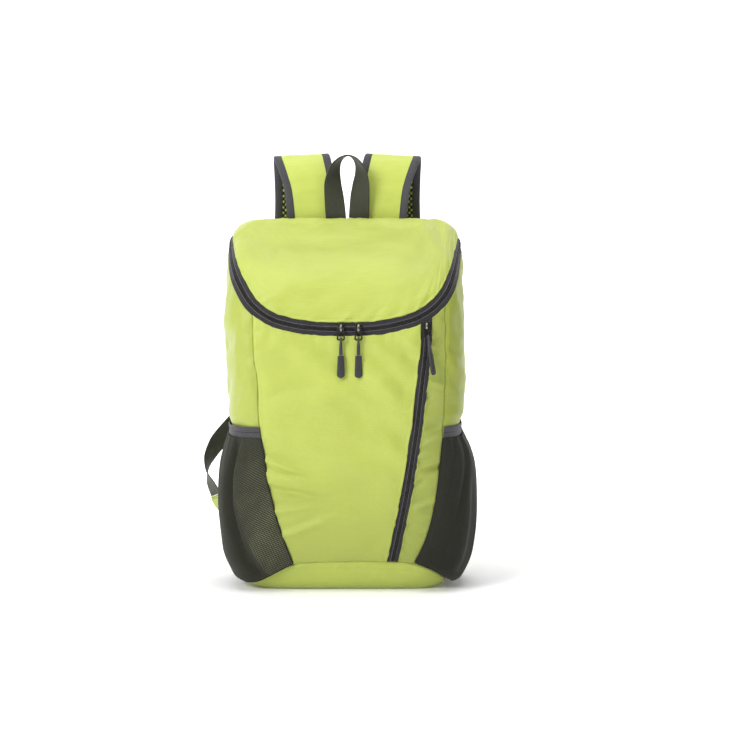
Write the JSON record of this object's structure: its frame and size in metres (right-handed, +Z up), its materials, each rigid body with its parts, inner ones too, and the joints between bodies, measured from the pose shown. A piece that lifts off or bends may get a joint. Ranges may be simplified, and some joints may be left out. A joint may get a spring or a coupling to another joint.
{
  "type": "backpack",
  "caption": "Light packable backpack with a zipped lid, an oblique front zip pocket, mesh side pockets, padded shoulder straps and a carrying loop.",
  "frame": {"origin": "on the ground, in the middle of the underside of the bottom panel", "axes": "+Z up; the front with the zip pulls faces -Y, the shoulder straps are at +Y, and +X is to the right as seen from the front"},
  "size_m": [0.3339, 0.2062, 0.5163],
  "materials": {
    "lime_ripstop": "lime ripstop cloth, soft satin",
    "lime_padded_cloth": "lime cloth over thin foam, mesh inside",
    "grey_binding": "grey woven binding tape and elastic",
    "zip_tape": "dark woven zip tape",
    "zip_coil": "dark nylon coil",
    "pocket_mesh": "dark olive knitted mesh",
    "dark_webbing": "dark olive woven webbing",
    "black_plastic": "black acetal",
    "gunmetal": "gunmetal plating",
    "pull_cord": "dark thin cord",
    "pull_rubber": "dark soft rubber"
  },
  "bodies": {
    "bag": {"adjust_webbing_left": "dark_webbing", "adjust_webbing_right": "dark_webbing", "anchor_tab_left": "lime_ripstop", "anchor_tab_right": "lime_ripstop", "back_panel": "lime_ripstop", "bottom_panel": "lime_ripstop", "front_panel": "lime_ripstop", "front_side_strip": "lime_ripstop", "front_zip_coil": "zip_coil", "front_zip_tape_lower": "zip_tape", "front_zip_tape_upper": "zip_tape", "haul_loop": "dark_webbing", "ladder_buckle_left": "black_plastic", "ladder_buckle_right": "black_plastic", "lid": "lime_ripstop", "main_zip_coil": "zip_coil", "main_zip_tape_lower": "zip_tape", "main_zip_tape_upper": "zip_tape", "pocket_band_left": "grey_binding", "pocket_band_right": "grey_binding", "pocket_mesh_left": "pocket_mesh", "pocket_mesh_right": "pocket_mesh", "side_panel_left": "lime_ripstop", "side_panel_right": "lime_ripstop", "strap_binding_left_inner": "grey_binding", "strap_binding_left_outer": "grey_binding", "strap_binding_right_inner": "grey_binding", "strap_binding_right_outer": "grey_binding", "strap_hanger_left": "dark_webbing", "strap_hanger_right": "dark_webbing", "strap_left": "lime_padded_cloth", "strap_right": "lime_padded_cloth", "zip_slider_front": "gunmetal", "zip_slider_left": "gunmetal", "zip_slider_right": "gunmetal"},
    "pull_left": {"zip_puller_left": "gunmetal", "pull_cord_left": "pull_cord", "pull_grip_left": "pull_rubber"},
    "pull_right": {"zip_puller_right": "gunmetal", "pull_cord_right": "pull_cord", "pull_grip_right": "pull_rubber"},
    "pull_front": {"zip_puller_front": "gunmetal", "pull_cord_front": "pull_cord", "pull_grip_front": "pull_rubber"}
  },
  "joints": [
    {"name": "pull_left_hinge", "type": "hinge", "parent": "bag", "child": "pull_left", "pos_m": [-0.0042, -0.07865, 0.31114], "axis": [-1, 0, 0], "range_deg": [0, 150]},
    {"name": "pull_right_hinge", "type": "hinge", "parent": "bag", "child": "pull_right", "pos_m": [0.0162, -0.07866, 0.31116], "axis": [-1, 0, 0], "range_deg": [0, 150]},
    {"name": "pull_front_hinge", "type": "hinge", "parent": "bag", "child": "pull_front", "pos_m": [0.09539, -0.07734, 0.31351], "axis": [-0.9903, -0.0266, -0.1366], "range_deg": [0, 120]}
  ]
}
